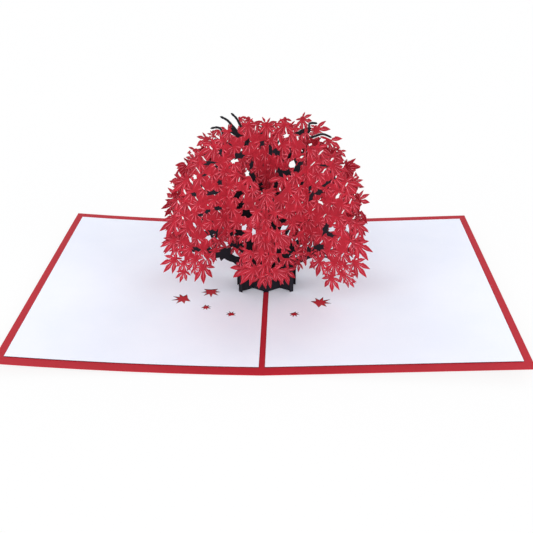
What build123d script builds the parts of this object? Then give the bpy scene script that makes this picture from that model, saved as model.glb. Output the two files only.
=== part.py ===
from build123d import *
import math
import os

os.makedirs("parts", exist_ok=True)

# Pop-up card, opened flat, with a slotted paper maple tree standing across its spine.
# +X runs to the right, +Y to the back and +Z up. The origin is on the table, in the middle of
# the spine fold.

# Cover: one sheet of red card with a fold along the spine.
half_width = 127
card_depth = 178
cover_thickness = 0.4
left_rise = 4.4
right_rise = 5.8

# White panels glued inside the cover, with a red border left round them.
panel_thickness = 0.3
side_border = 4.2
end_border = 6
spine_strip = 3
glue_film = 0.06

# Tree: flat sheets that stand on edge, turned to either side of the X axis.
crossing_angle = 30
sheet_thickness = 0.3
slot_clearance = 0.25
floor_clearance = 0.05
overrun = 200

# Spacing of the parallel sheets, measured along the spine.
side_offset = 24
wall_offset = 8.66

# Trunk and its low walls.
trunk_height = 46
trunk_waist_half = 5.6
trunk_waist_height = 27
trunk_end_height = 14
root_height = 16
root_half = 11
end_fold_length = 2.2
wall_height = 15
wall_stub = 1.6
tab_length = 5
tab_end_gap = 1.5
tab_slit_clearance = 0.15

# Boughs: widths where they leave the trunk and at their ends.
low_bough_width = 6.5
bough_width = 4.2
twig_width = 1.7
bough_end_width = 1.1

# Heights where the half slots of two crossing trunk sheets meet.
wall_crossing_height = 8
trunk_crossing_height = 21

# Foliage: the height and reach that its outlines are shares of.
crown_height = 100
crown_reach = 60
leaf_length = 10
leaf_pitch = 11
gap_length = 7.5
gap_width = 3

# Heights where the half slots of crossing foliage meet, and the span of a side sheet where it
# crosses a tall trunk sheet, in shares of the crown's height.
front_crossing_share = 0.34
edge_crossing_share = 0.5
side_crossing_share = 0.57
main_crossing_share = 0.68
side_bottom_share = 0.305
side_top_share = 0.9

# Fallen leaves, cut through the white panels.
big_fallen_leaf = 6.6
small_fallen_leaf = 3.4

# Place of each fallen leaf in shares of the half width and the depth, its size and its turn.
fallen_leaf_shares = [
    (-0.355, -0.105, big_fallen_leaf, -70),
    (-0.24, -0.055, big_fallen_leaf, 5),
    (-0.25, -0.152, small_fallen_leaf, 60),
    (-0.14, -0.19, small_fallen_leaf, 200),
    (0.232, -0.125, big_fallen_leaf, 121),
    (0.122, -0.19, small_fallen_leaf, 30),
]

# Seven lobes of a leaf: angle in degrees from its middle lobe, and share of the leaf's length.
lobe_shares = ((-126, 0.42), (-76, 0.68), (-38, 0.9), (0, 1), (38, 0.9), (76, 0.68), (126, 0.42))
small_lobe_shares = lobe_shares[1:-1]
fallen_lobe_shares = ((-130, 0.8), (-85, 0.86), (-42, 0.95), (0, 1), (42, 0.95), (85, 0.86), (130, 0.8))
notch_share = 0.36
stem_notch_share = 0.2
small_leaf_share = 0.68
size_swing_share = 0.12
turn_swing_share = 0.45
lean_share = 0.85
golden_share = 0.618034

along = math.cos(math.radians(crossing_angle))
across = math.sin(math.radians(crossing_angle))
crossing_turn = 2 * math.radians(crossing_angle)
curl_radius = (half_width**2 + left_rise**2) / (2 * left_rise)
wall_length = wall_offset / across
fork_height = (trunk_height + trunk_waist_height) / 2
tab_start = wall_length - tab_end_gap - tab_length
layer_shift = sheet_thickness / along
pair_middle = -layer_shift / 2
side_crossing_height = side_crossing_share * crown_height
side_sheet_bottom = side_bottom_share * crown_height


def lift(x):
    """Height of the cover's underside above the table: the left half curls up, the right tilts."""
    if x < 0:
        return curl_radius - math.sqrt(curl_radius**2 - x**2)
    return right_rise * x / half_width


def card_edge(x_from, x_to, height):
    """Edge along one half of the card, at a height above the cover's underside."""
    places = [(x, lift(x) + height) for x in (x_from, (x_from + x_to) / 2, x_to)]
    return ThreePointArc(*places) if x_from < 0 else Line(places[0], places[2])


def card_section(spans, bottom, thickness):
    """Edges round the section of a sheet that lies on one or both halves of the card."""
    low = [card_edge(x_from, x_to, bottom) for x_from, x_to in spans]
    high = [card_edge(x_from, x_to, bottom + thickness) for x_from, x_to in spans]
    return low + high + [Line(low[0] @ 0, high[0] @ 0), Line(low[-1] @ 1, high[-1] @ 1)]


def leaf_points(length, lobes=lobe_shares):
    """Corners of a maple leaf that hangs down from its stem at the origin."""
    corners = []
    for index, (angle, share) in enumerate(lobes):
        tip = math.radians(angle)
        corners.append((length * share * math.sin(tip), -length * share * math.cos(tip)))
        last = index == len(lobes) - 1
        next_angle = 0 if last else lobes[index + 1][0]
        notch = math.pi if last else math.radians((angle + next_angle) / 2)
        depth = length * (stem_notch_share if last else notch_share)
        corners.append((depth * math.sin(notch), -depth * math.cos(notch)))
    return corners


def place(points, s, z, turn):
    """Points turned about the origin and moved to a place on the sheet."""
    cosine = math.cos(turn)
    sine = math.sin(turn)
    return [(s + cosine * u - sine * v, z + sine * u + cosine * v) for u, v in points]


def swing(index, rate=1):
    """A number from -1 to 1 that wanders evenly with the index."""
    return 2 * ((index * golden_share * rate) % 1) - 1


def walk(outline, pitch):
    """Evenly spaced stations round a closed outline, each with its outward direction."""
    area = sum(a[0] * b[1] - b[0] * a[1] for a, b in zip(outline, outline[1:] + outline[:1]))
    ring = outline if area > 0 else outline[::-1]
    edges = list(zip(ring, ring[1:] + ring[:1]))
    count = round(sum(math.dist(a, b) for a, b in edges) / pitch)
    step = sum(math.dist(a, b) for a, b in edges) / count
    stations = []
    walked = 0
    for (s0, z0), (s1, z1) in edges:
        length = math.dist((s0, z0), (s1, z1))
        while len(stations) * step < walked + length:
            share = (len(stations) * step - walked) / length
            normal = ((z1 - z0) / length, (s0 - s1) / length)
            stations.append(((s0 + share * (s1 - s0), z0 + share * (z1 - z0)), normal))
        walked += length
    return stations


def edge_leaves(outline, start):
    """Leaves along the edge of a foliage sheet, drooping and leaning outward."""
    leaves = []
    for index, ((s, z), (out_s, out_z)) in enumerate(walk(outline, leaf_pitch)):
        step = index + start
        turn = lean_share * out_s + turn_swing_share * swing(step, 3)
        length = leaf_length * (1 + size_swing_share * swing(step, 2))
        if step % 4 == 3:
            points = leaf_points(length * small_leaf_share, small_lobe_shares)
        else:
            points = leaf_points(length)
        leaves.append(place(points, s, z, turn))
    return leaves


def bough_points(course, root_width, end_width):
    """Outline of a bough that narrows along its course to a point."""
    sides = ([], [])
    for index, (s, z) in enumerate(course[:-1]):
        before = course[max(index - 1, 0)]
        after = course[index + 1]
        length = math.dist(before, after)
        normal = ((before[1] - after[1]) / length, (after[0] - before[0]) / length)
        share = index / (len(course) - 1)
        half = (root_width + (end_width - root_width) * share) / 2
        sides[0].append((s + half * normal[0], z + half * normal[1]))
        sides[1].append((s - half * normal[0], z - half * normal[1]))
    return sides[0] + [course[-1]] + sides[1][::-1]


def mirrored(points):
    return [(-s, z) for s, z in points]


def crown_places(shares):
    """Places on a sheet from shares of the crown's reach and height."""
    return [(s * crown_reach, z * crown_height) for s, z in shares]


def bough_places(shares):
    """Places on a sheet from shares of the side sheets' offset and the crown's height."""
    return [(s * side_offset, z * crown_height) for s, z in shares]


def sheet_plane(family, offset):
    """Plane of a standing sheet. The family is 1 where it runs to the right rear, -1 to the front."""
    return Plane(
        origin=(0, offset, 0),
        x_dir=(along, family * across, 0),
        z_dir=(family * across, -along, 0),
    )


def slot(family, own_offset, partner_offset, layers, low, high):
    """Slot for a partner of one or two layers, from a low to a high place on the sheet."""
    middle = family * (partner_offset - own_offset)
    partner = layers * sheet_thickness / math.sin(crossing_turn)
    half = (partner + sheet_thickness / math.tan(crossing_turn) + slot_clearance) / 2
    return [(middle - half, low), (middle + half, low), (middle + half, high), (middle - half, high)]


def half_slot(family, own_offset, partner_offset, layers, meeting_height):
    """Slot from below in a sheet of one family, and from above in a sheet of the other."""
    low, high = (-overrun, meeting_height) if family > 0 else (meeting_height, overrun)
    return slot(family, own_offset, partner_offset, layers, low, high)


# Outlines that the foliage leaves are set along, in shares of the crown's reach and height.
top_shares = [
    (0, 0.94), (0.18, 0.955), (0.3, 0.96), (0.42, 0.915), (0.54, 0.845), (0.66, 0.785), (0.77, 0.715),
]
rim_shares = [(0.85, 0.61), (0.9, 0.46), (0.9, 0.32)]
left_droop_shares = [
    (0.89, 0.24), (0.81, 0.215), (0.71, 0.21), (0.61, 0.225), (0.54, 0.27), (0.48, 0.35), (0.36, 0.42),
]
right_droop_shares = [(0.86, 0.22), (0.78, 0.155), (0.66, 0.17), (0.57, 0.25), (0.47, 0.31), (0.36, 0.2)]
left_middle_shares = [(0.2, 0.46)]
right_middle_shares = [(0.28, 0.22), (0.2, 0.44)]
side_crown_shares = [
    (0.01, 0.655), (0.1, 0.68), (0.2, 0.735), (0.31, 0.785), (0.42, 0.82), (0.6, 0.815), (0.77, 0.74),
]
side_rim_shares = [(0.88, 0.63), (0.95, 0.48), (0.95, 0.33), (0.88, 0.24), (0.76, 0.23)]
side_low_shares = [(0.6, 0.29), (0.45, 0.38), (0.36, 0.4), (0.3, 0.33), (0.28, 0.23)]
tail_shares = [(0.18, 0.18), (0.05, 0.185), (-0.07, 0.2), (-0.15, 0.3), (-0.13, 0.43), (-0.08, 0.57)]

left_half_shares = top_shares + rim_shares + left_droop_shares + left_middle_shares
right_half_shares = top_shares + rim_shares + right_droop_shares + right_middle_shares
left_half = crown_places(left_half_shares)
right_half = crown_places(right_half_shares)
left_main_outline = mirrored(left_half) + left_half[::-1][:-1]
right_main_outline = right_half + mirrored(right_half)[::-1][:-1]
side_outline = crown_places(side_crown_shares + side_rim_shares + side_low_shares + tail_shares)

# Gaps between leaves that show the boughs, as shares of the crown's reach and height.
left_main_gap_shares = [
    (0.53, 0.62), (0.45, 0.68), (0.585, 0.525), (0.48, 0.53), (0.545, 0.405), (0.27, 0.79),
    (0.155, 0.73), (0.28, 0.55), (0.69, 0.63),
]
right_main_gap_shares = [
    (0.52, 0.63), (0.1, 0.79), (0.2, 0.7), (0.28, 0.745), (0.46, 0.595), (0.605, 0.69), (0.62, 0.43),
    (0.54, 0.32), (0.27, 0.29),
]
left_side_gap_shares = [
    (0.28, 0.61), (0.245, 0.55), (0.19, 0.5), (0.26, 0.4), (0.15, 0.335), (0.12, 0.42), (0.5, 0.71),
    (0.68, 0.6), (0.7, 0.4),
]
right_side_gap_shares = [
    (0.18, 0.46), (0.22, 0.4), (0.085, 0.47), (0.27, 0.33), (0.13, 0.31), (0.14, 0.6), (0.52, 0.5),
    (0.68, 0.6), (0.7, 0.4),
]

# Boughs of the two tall trunk sheets, from the trunk outward, in shares of the side sheets' offset
# and the crown's height.
low_shares = [(0.15, 0.13), (0.5, 0.165), (0.9, 0.225), (1.3, 0.285), (1.65, 0.315), (1.95, 0.38)]
upper_shares = [(0.075, 0.36), (0.2, 0.52), (0.3, 0.68), (0.45, 0.8), (0.7, 0.86), (0.95, 0.865)]
inner_shares = [(0.225, 0.56), (0.12, 0.72), (0.17, 0.84), (0.1, 0.93)]
left_middle_bough_shares = [(0.1, 0.26), (0.3, 0.42), (0.65, 0.55), (1, 0.62), (1.35, 0.635), (1.7, 0.65)]
left_side_shares = [(1.1, 0.62), (1.25, 0.55), (1.45, 0.51), (1.7, 0.52)]
left_inner_low_shares = [(0.15, 0.19), (0.44, 0.275), (0.67, 0.355), (0.9, 0.375)]
left_rise_shares = [(1.25, 0.28), (1.33, 0.36), (1.42, 0.405), (1.6, 0.415), (1.83, 0.41)]
right_middle_bough_shares = [(0.1, 0.26), (0.35, 0.4), (0.7, 0.49), (1, 0.53), (1.25, 0.61), (1.7, 0.71)]
right_side_shares = [(1.35, 0.63), (1.5, 0.56), (1.7, 0.53), (1.85, 0.55)]
right_inner_low_shares = [(0.15, 0.19), (0.35, 0.24), (0.67, 0.275), (1.08, 0.29), (1.34, 0.318)]
right_rise_shares = [(1.25, 0.28), (1.46, 0.35), (1.49, 0.42), (1.55, 0.475)]
right_rise_twig_shares = [(1.48, 0.4), (1.6, 0.418), (1.78, 0.405)]

shared_boughs = [
    (low_shares, low_bough_width),
    (upper_shares, bough_width),
    (inner_shares, twig_width),
]
left_boughs = shared_boughs + [
    (left_inner_low_shares, bough_width),
    (left_middle_bough_shares, bough_width),
    (left_side_shares, twig_width),
    (left_rise_shares, twig_width),
]
right_boughs = shared_boughs + [
    (right_inner_low_shares, bough_width),
    (right_middle_bough_shares, bough_width),
    (right_side_shares, twig_width),
    (right_rise_shares, twig_width),
    (right_rise_twig_shares, twig_width),
]

# Twigs that only the rear half of a tall trunk sheet has. They stand out over the crown.
left_rear_twig_shares = [
    [(0.7, 0.86), (1.06, 0.86), (1.075, 0.905), (1.28, 0.9)],
    [(0.9, 0.862), (1.05, 0.83), (1.2, 0.83), (1.43, 0.835), (1.67, 0.807)],
]
right_rear_twig_shares = [
    [(0.45, 0.81), (0.6, 0.875), (0.75, 0.937), (0.91, 0.965)],
    [(0.7, 0.86), (0.93, 0.908), (1.03, 0.925), (1.2, 0.936)],
    [(1.25, 0.61), (1.2, 0.7), (1.13, 0.8), (1.16, 0.857), (1.27, 0.873), (1.47, 0.86)],
    [(1.13, 0.79), (1.24, 0.8), (1.38, 0.804)],
]


def bough_outlines(family):
    """Boughs on both sides of a tall trunk sheet, and the twigs of its rear half."""
    outlines = []
    for shares, width in left_boughs if family > 0 else right_boughs:
        outline = bough_points(bough_places(shares), width, bough_end_width)
        outlines += [outline, mirrored(outline)]
    for shares in left_rear_twig_shares if family > 0 else right_rear_twig_shares:
        outline = bough_points(bough_places(shares), twig_width, bough_end_width)
        outlines.append(outline if family > 0 else mirrored(outline))
    return outlines


def floor_height(s):
    """Height of the panels' top under a place on a standing sheet."""
    return lift(s * along) + cover_thickness + glue_film + panel_thickness + floor_clearance


def trunk_points():
    """Trunk of a tall sheet: wide roots on the panels, a waist, and a fork at the top."""
    right = [
        (wall_length, floor_height(wall_length)),
        (wall_length, trunk_end_height),
        (root_half, root_height),
        (trunk_waist_half, trunk_waist_height),
        (trunk_waist_half / 2, trunk_height),
    ]
    left = [(-wall_length, floor_height(-wall_length))] + mirrored(right[1:])
    return [(0, floor_height(0))] + right + [(0, fork_height)] + left[::-1]


def end_folds(family):
    """Plane and outline of the strip that is folded back at each end of a tall trunk sheet."""
    folds = []
    for side in (-1, 1):
        end = side * wall_length
        inner = side * (wall_length - end_fold_length)
        corners = [
            (end, floor_height(end)),
            (end, trunk_end_height),
            (inner, trunk_end_height),
            (inner, floor_height(inner)),
        ]
        folds.append((sheet_plane(-family, 2 * family * end * across), corners))
    return folds


def tab_points(side):
    """A tab that reaches down through its slit to the cover."""
    near = side * tab_start
    far = side * (tab_start + tab_length)
    return [
        (near, lift(near * along) + cover_thickness + floor_clearance),
        (far, lift(far * along) + cover_thickness + floor_clearance),
        (far, floor_height(far) + floor_clearance),
        (near, floor_height(near) + floor_clearance),
    ]


def tall_trunk(family):
    """Outlines and slots of a tall trunk sheet that crosses the middle of the spine."""
    slots = [half_slot(family, 0, pair_middle, 2, trunk_crossing_height)]
    for side in (-1, 1):
        wall = side * wall_offset
        foliage = side * side_offset
        if family > 0:
            slots.append(half_slot(family, 0, wall, 1, wall_crossing_height))
            slots.append(slot(family, 0, foliage, 1, side_sheet_bottom, side_crossing_height))
        else:
            slots.append(slot(family, 0, wall, 1, wall_crossing_height, wall_height + slot_clearance))
            slots.append(slot(family, 0, foliage, 1, side_crossing_height, side_top_share * crown_height))
    outlines = [trunk_points(), tab_points(-1), tab_points(1)]
    return outlines + bough_outlines(family), slots


def low_wall(family, side):
    """Outlines and slots of a low wall of the trunk, which reaches from the spine to one side."""
    reach = -side * family
    corners = [
        (-wall_stub, floor_height(-wall_stub * reach)),
        (0, floor_height(0)),
        (wall_length + wall_stub, floor_height((wall_length + wall_stub) * reach)),
        (wall_length + wall_stub, trunk_end_height),
        (wall_offset, wall_height),
        (-wall_stub, trunk_end_height),
    ]
    own = side * wall_offset
    partners = (0, own, -own)
    slots = [half_slot(family, own, partner, 1, wall_crossing_height) for partner in partners]
    return [[(reach * s, z) for s, z in corners], tab_points(reach)], slots


def gap_outlines(shares):
    """Slim diamond gaps between leaves."""
    diamond = [(0, gap_length / 2), (-gap_width / 2, 0), (0, -gap_length / 2), (gap_width / 2, 0)]
    return [place(diamond, s, z, swing(index, 3)) for index, (s, z) in enumerate(crown_places(shares))]


def main_foliage(family):
    """Outlines and cuts of a foliage sheet glued to the front of a tall trunk sheet."""
    outline = left_main_outline if family > 0 else right_main_outline
    gaps = gap_outlines(left_main_gap_shares if family > 0 else right_main_gap_shares)
    cuts = gaps + [mirrored(gap) for gap in gaps]
    cuts.append(half_slot(family, -layer_shift, pair_middle, 2, main_crossing_share * crown_height))
    cuts.append(slot(family, -layer_shift, pair_middle, 1, -overrun, fork_height))
    for side in (-1, 1):
        cuts.append(half_slot(family, -layer_shift, side * side_offset, 1, side_crossing_height))
    return [outline] + edge_leaves(outline, family), cuts


def side_foliage(family, side):
    """Outlines and cuts of a foliage sheet to one side, with a tail that hangs over the spine."""
    reach = -side * family
    own = side * side_offset
    outline = [(reach * s, z) for s, z in side_outline]
    gaps = gap_outlines(left_side_gap_shares if reach < 0 else right_side_gap_shares)
    cuts = [[(reach * s, z) for s, z in gap] for gap in gaps]
    cuts.append(half_slot(family, own, own, 1, front_crossing_share * crown_height))
    cuts.append(half_slot(family, own, pair_middle, 2, side_crossing_height))
    cuts.append(slot(family, own, pair_middle, 1, -overrun, side_sheet_bottom))
    cuts.append(half_slot(family, own, -own, 1, edge_crossing_share * crown_height))
    return [outline] + edge_leaves(outline, 2 * family + side), cuts


def cut_sheet(name, plane, outlines, cuts, folds=()):
    """One sheet, cut to its joined outlines less its cuts, with strips folded out of its plane.

    Loose crumbs drop out.
    """
    kept = [Polygon(*points, align=None) for points in outlines]
    removed = [Polygon(*points, align=None) for points in cuts]
    with BuildPart() as sheet:
        with BuildSketch(plane, mode=Mode.PRIVATE) as profile:
            add(kept)
            add(removed, mode=Mode.SUBTRACT)
        whole = profile.sketch.faces().sort_by(SortBy.AREA)[-1]
        extrude(whole, amount=sheet_thickness / 2, both=True)
        for fold_plane, corners in folds:
            with BuildSketch(fold_plane):
                Polygon(*corners, align=None)
            extrude(amount=sheet_thickness / 2, both=True)
    sheet.part.label = name
    export_step(sheet.part, f"parts/{name}.step")


def tab_slit(family, offset, side):
    """Place and turn, seen from above, of the slit that takes one tab."""
    s = side * (tab_start + tab_length / 2)
    return Location((s * along, offset + family * s * across, 0), (0, 0, family * crossing_angle))


def card_panel(side):
    """White panel on one half, with fallen leaves cut out and slits for the trunk's tabs."""
    ends = sorted((side * (half_width - side_border), side * spine_strip / 2))
    section = card_section([ends], cover_thickness + glue_film, panel_thickness)
    leaves = []
    for x_share, y_share, length, turn in fallen_leaf_shares:
        x = x_share * half_width
        y = y_share * card_depth
        points = place(leaf_points(length, fallen_lobe_shares), x, y, math.radians(turn))
        leaves.append(Polygon(*points, align=None))
    slits = []
    for family in (-1, 1):
        slits.append(tab_slit(family, 0, side))
        slits.append(tab_slit(family, -family * side * wall_offset, side))
    with BuildPart() as panel:
        with BuildSketch(Plane.XZ):
            with BuildLine():
                add(section)
            make_face()
        extrude(amount=card_depth / 2 - end_border, both=True)
        with BuildSketch(Plane.XY):
            add(leaves)
            with Locations(*slits):
                Rectangle(tab_length + 2 * tab_slit_clearance, sheet_thickness + 2 * tab_slit_clearance)
        extrude(amount=overrun, mode=Mode.SUBTRACT)
    return panel.part


cover_section = card_section([(-half_width, 0), (0, half_width)], 0, cover_thickness)
with BuildPart() as cover:
    with BuildSketch(Plane.XZ):
        with BuildLine():
            add(cover_section)
        make_face()
    extrude(amount=card_depth / 2, both=True)
cover.part.label = "cover"
export_step(cover.part, "parts/cover.step")

for hand, side in (("left", -1), ("right", 1)):
    white_panel = card_panel(side)
    white_panel.label = f"{hand}_panel"
    export_step(white_panel, f"parts/{hand}_panel.step")

for hand, family in (("left", 1), ("right", -1)):
    cut_sheet(f"trunk_{hand}", sheet_plane(family, 0), *tall_trunk(family), end_folds(family))
    cut_sheet(f"foliage_{hand}", sheet_plane(family, -layer_shift), *main_foliage(family))

for hand, reach in (("left", -1), ("right", 1)):
    for end, side in (("front", -1), ("rear", 1)):
        family = -side * reach
        wall_plane = sheet_plane(family, side * wall_offset)
        foliage_plane = sheet_plane(family, side * side_offset)
        cut_sheet(f"trunk_wall_{end}_{hand}", wall_plane, *low_wall(family, side))
        cut_sheet(f"foliage_{end}_{hand}", foliage_plane, *side_foliage(family, side))
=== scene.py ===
from math import atan2, cos, dist, hypot, radians, sin, sqrt, tan

import bpy
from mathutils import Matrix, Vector
from mathutils.geometry import delaunay_2d_cdt


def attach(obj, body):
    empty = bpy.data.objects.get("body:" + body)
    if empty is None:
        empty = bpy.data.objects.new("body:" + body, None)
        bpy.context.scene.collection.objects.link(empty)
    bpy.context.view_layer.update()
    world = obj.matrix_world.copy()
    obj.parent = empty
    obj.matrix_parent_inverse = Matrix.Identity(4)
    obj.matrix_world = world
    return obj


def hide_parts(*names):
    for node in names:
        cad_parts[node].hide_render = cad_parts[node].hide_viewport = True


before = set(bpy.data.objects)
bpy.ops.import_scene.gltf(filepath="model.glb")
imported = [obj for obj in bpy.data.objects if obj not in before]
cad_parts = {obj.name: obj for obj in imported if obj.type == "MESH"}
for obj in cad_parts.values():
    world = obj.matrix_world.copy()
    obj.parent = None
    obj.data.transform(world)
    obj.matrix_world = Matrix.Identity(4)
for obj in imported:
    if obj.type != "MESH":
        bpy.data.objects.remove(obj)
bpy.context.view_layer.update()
scene = bpy.context.scene

# Pop-up card with a slotted paper maple tree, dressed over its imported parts. The layout is in
# millimetres, +X right, +Y back and +Z up, and the meshes are in metres.
mm = 0.001

# Card and its white panels.
half_width = 127
card_depth = 178
cover_thickness = 0.4
left_rise = 4.4
right_rise = 5.8
panel_thickness = 0.3
side_border = 4.2
end_border = 6
spine_strip = 3
glue_film = 0.06
panel_strips = 14

# Standing sheets.
crossing_angle = 30
sheet_thickness = 0.3
slot_clearance = 0.25
floor_clearance = 0.05
overrun = 200
side_offset = 24
wall_offset = 8.66

# Trunk and boughs.
trunk_height = 46
trunk_waist_half = 5.6
trunk_waist_height = 27
trunk_end_height = 14
root_height = 16
root_half = 11
root_flank = [(8, 18), (6.2, 22.5)]
fork_flank = (4.9, 36)
end_fold_length = 2.2
wall_height = 15
tab_length = 5
tab_end_gap = 1.5
tab_slit_clearance = 0.15
low_bough_width = 6.5
bough_width = 4.2
twig_width = 1.7
wall_crossing_height = 8
trunk_crossing_height = 21
bough_end_width = 1.1
bough_tip_half = 0.12
taper_power = 0.8
knot_share = 0.13
knot_rate = 1.9

# Small twigs that leave the boughs, and those behind the windows with their patches of paper.
# Lengths and turns are pairs of a middle value and its swing.
twig_seed_step = 31
twig_pitch = 8
twig_pitch_swing = 0.3
side_twig_length = (7, 2)
side_twig_elbow = (0.5, 0.75)
side_twig_tip_turn = (0.45, 0.2)
side_twig_halves = (0.55, 0.4)
side_twig_edge_gap = 3
side_twig_slot_gap = 1.5
twig_gap_margin = 0.12
window_twig_reach_share = 0.6
window_twig_half_share = 0.36
window_twig_least_half = 0.8
window_patch_shares = (1.5, 3)

# Foliage sheets, with the heights where their half slots meet in shares of the crown's height.
crown_height = 100
crown_reach = 60
front_crossing_share = 0.34
edge_crossing_share = 0.5
side_crossing_share = 0.57
main_crossing_share = 0.68
side_bottom_share = 0.305
side_top_share = 0.9
solid_inset = 5
sharpest_inset_share = 0.6
crossing_band = 1.3
least_patch_share = 0.02

# Solid bands of paper beside the slots.
slot_band = 1.2
band_foot_gap = 2
band_head_gap = 5
band_probes = 220
probes_per_mm = 2

# Leaves along the edges, small ones between some of them, and rows of leaves inside. Each kind
# has its length, the share by which it swings and that swing's rate, and the swing of its turn
# in radians and that one's rate.
edge_kind = (10, 0.12, 2, 0.45, 3)
between_kind = (5.6, 0.2, 7, 0.8, 5)
inner_kind = (8, 0.15, 2, 0.6, 7)
leaf_pitch = 11
edge_lean = 0.85
small_leaf_share = 0.68
small_leaf_every = 4
between_lean = 0.7
between_inset = 1.2
inner_lean = 0.75
inner_edge_gap = 2.6
inner_sway = 1.2
inner_columns = 12
inner_seed_step = 37
inner_seed_shift = 400
row_pitch = 6.6
column_pitch = 7
leaf_tilt = 0.42

# Step of the even wander that every swing follows.
golden_share = 0.618034

# Slits between the lobes of a leaf, and the veins along them, as score lines painted pale pink as a
# highlight.
rim_slit_half = 0.34
inner_slit_half = 0.24
slit_start_share = 0.22
slit_middle_share = 0.7
slit_end_share = 0.68
vein_half = 0.14
vein_shares = (0.16, 0.5, 0.8)

# Ragged gaps: corners, sway of their angles in degrees, and their outer and inner radii with the
# swing of each, in shares of the gap's length and width.
gap_corners = 11
gap_seed_step = 5
gap_corner_sway = 13
gap_outer_shares = (0.62, 0.13)
gap_inner_shares = (0.42, 0.12)

# Specks of light through the whole tree: the half axes and middle height of the oval that holds
# them, and their sizes as pairs of a middle value and its swing. They grow near the crown's rim.
speck_count = 170
speck_oval = (54, 46)
speck_middle = 48
speck_low = 12
speck_span = 80
speck_length = (2.4, 0.9)
speck_width = (0.62, 0.2)
speck_fan = 0.9
speck_turn_swing = 35
rim_speck_growth = 1.5
rim_speck_oval = (50, 44)
rim_speck_share = 0.72

# Fallen leaves cut through the panels: shares of the half width and the depth, size and turn.
fallen_leaves = [
    (-0.355, -0.105, 6.6, -70),
    (-0.24, -0.055, 6.4, 5),
    (-0.25, -0.152, 3.4, 60),
    (-0.14, -0.19, 3.4, 200),
    (0.232, -0.125, 6.8, 121),
    (0.122, -0.19, 3.4, 30),
]

# Lobes of a leaf: angle from its middle lobe and share of the leaf's length.
lobe_shares = ((-126, 0.42), (-76, 0.68), (-38, 0.9), (0, 1), (38, 0.9), (76, 0.68), (126, 0.42))
small_lobe_shares = lobe_shares[1:-1]
fallen_notch_share = 0.42
fallen_lobe_shares = ((-130, 0.8), (-85, 0.86), (-42, 0.95), (0, 1), (42, 0.95), (85, 0.86), (130, 0.8))

# Half width of a lobe along its length, as shares of its greatest half width.
lobe_profile = ((0, 0.3), (0.22, 0.5), (0.5, 1), (0.68, 0.86), (0.86, 0.42))
lobe_half_share = 0.148
lobe_bend_share = 0.1
heart_share = 0.15
heart_corner_turn = 45

along = cos(radians(crossing_angle))
across = sin(radians(crossing_angle))
crossing_turn = 2 * radians(crossing_angle)
curl_radius = (half_width**2 + left_rise**2) / (2 * left_rise)
wall_length = wall_offset / across
fork_height = (trunk_height + trunk_waist_height) / 2
tab_start = wall_length - tab_end_gap - tab_length
layer_shift = sheet_thickness / along
pair_middle = -layer_shift / 2
side_crossing_height = side_crossing_share * crown_height
side_sheet_bottom = side_bottom_share * crown_height


def lift(x):
    """Height of the cover's underside above the table."""
    if x < 0:
        return curl_radius - sqrt(curl_radius**2 - x**2)
    return right_rise * x / half_width


def place(points, s, z, turn):
    """Points turned about the origin and moved to a place on the sheet."""
    cosine = cos(turn)
    sine = sin(turn)
    return [(s + cosine * u - sine * v, z + sine * u + cosine * v) for u, v in points]


def swing(index, rate):
    """A number from -1 to 1 that wanders evenly with the index."""
    return 2 * ((index * golden_share * rate) % 1) - 1


def swayed(pair, index, rate):
    """A middle value that swings with the index."""
    return pair[0] + pair[1] * swing(index, rate)


def run_to(start, end):
    return end[0] - start[0], end[1] - start[1]


def ahead(point, run, reach=1):
    """Place at a reach along a run from a point."""
    return point[0] + reach * run[0], point[1] + reach * run[1]


def outward(a, b):
    """Unit normal to the right of the way from one place to another."""
    length = dist(a, b)
    return (b[1] - a[1]) / length, (a[0] - b[0]) / length


def rectangle(left, right, low, high):
    return [(left, low), (right, low), (right, high), (left, high)]


def signed_area(points):
    return sum(a[0] * b[1] - b[0] * a[1] for a, b in zip(points, points[1:] + points[:1])) / 2


def counterclockwise(points):
    return points if signed_area(points) > 0 else points[::-1]


def lobe(length, angle):
    """Slim pointed lobe that hangs from the leaf's heart, bent a little towards the middle."""
    half = lobe_half_share * length
    bend = -lobe_bend_share * length * (angle > 0) + lobe_bend_share * length * (angle < 0)
    right = [(bend * t * t + half * share, -length * t) for t, share in lobe_profile]
    left = [(bend * t * t - half * share, -length * t) for t, share in lobe_profile]
    return place(right + [(bend, -length)] + left[::-1], 0, 0, radians(angle))


def leaf(length, lobes):
    """Outlines of a leaf's heart and lobes, hung from the origin."""
    radius = heart_share * length
    corners = [radians(turn) for turn in range(0, 360, heart_corner_turn)]
    heart = [(radius * cos(corner), radius * sin(corner)) for corner in corners]
    return [heart] + [lobe(length * share, angle) for angle, share in lobes]


def fallen_leaf(length):
    """Outline of a broad leaf cut through a panel, with its lobes spread from the origin."""
    corners = []
    last = (360 + fallen_lobe_shares[0][0], 0)
    for (angle, share), (next_angle, _) in zip(fallen_lobe_shares, fallen_lobe_shares[1:] + (last,)):
        tip = radians(angle)
        corners.append((length * share * sin(tip), -length * share * cos(tip)))
        notch = radians((angle + next_angle) / 2)
        depth = length * fallen_notch_share
        corners.append((depth * sin(notch), -depth * cos(notch)))
    return corners


def walk(outline, pitch):
    """Evenly spaced stations round a closed outline, each with its outward direction."""
    ring = counterclockwise(outline)
    edges = list(zip(ring, ring[1:] + ring[:1]))
    total = sum(dist(a, b) for a, b in edges)
    step = total / round(total / pitch)
    stations = []
    walked = 0
    for a, b in edges:
        length = dist(a, b)
        while len(stations) * step < walked + length:
            share = (len(stations) * step - walked) / length
            stations.append((ahead(a, run_to(a, b), share), outward(a, b)))
        walked += length
    return stations


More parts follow.
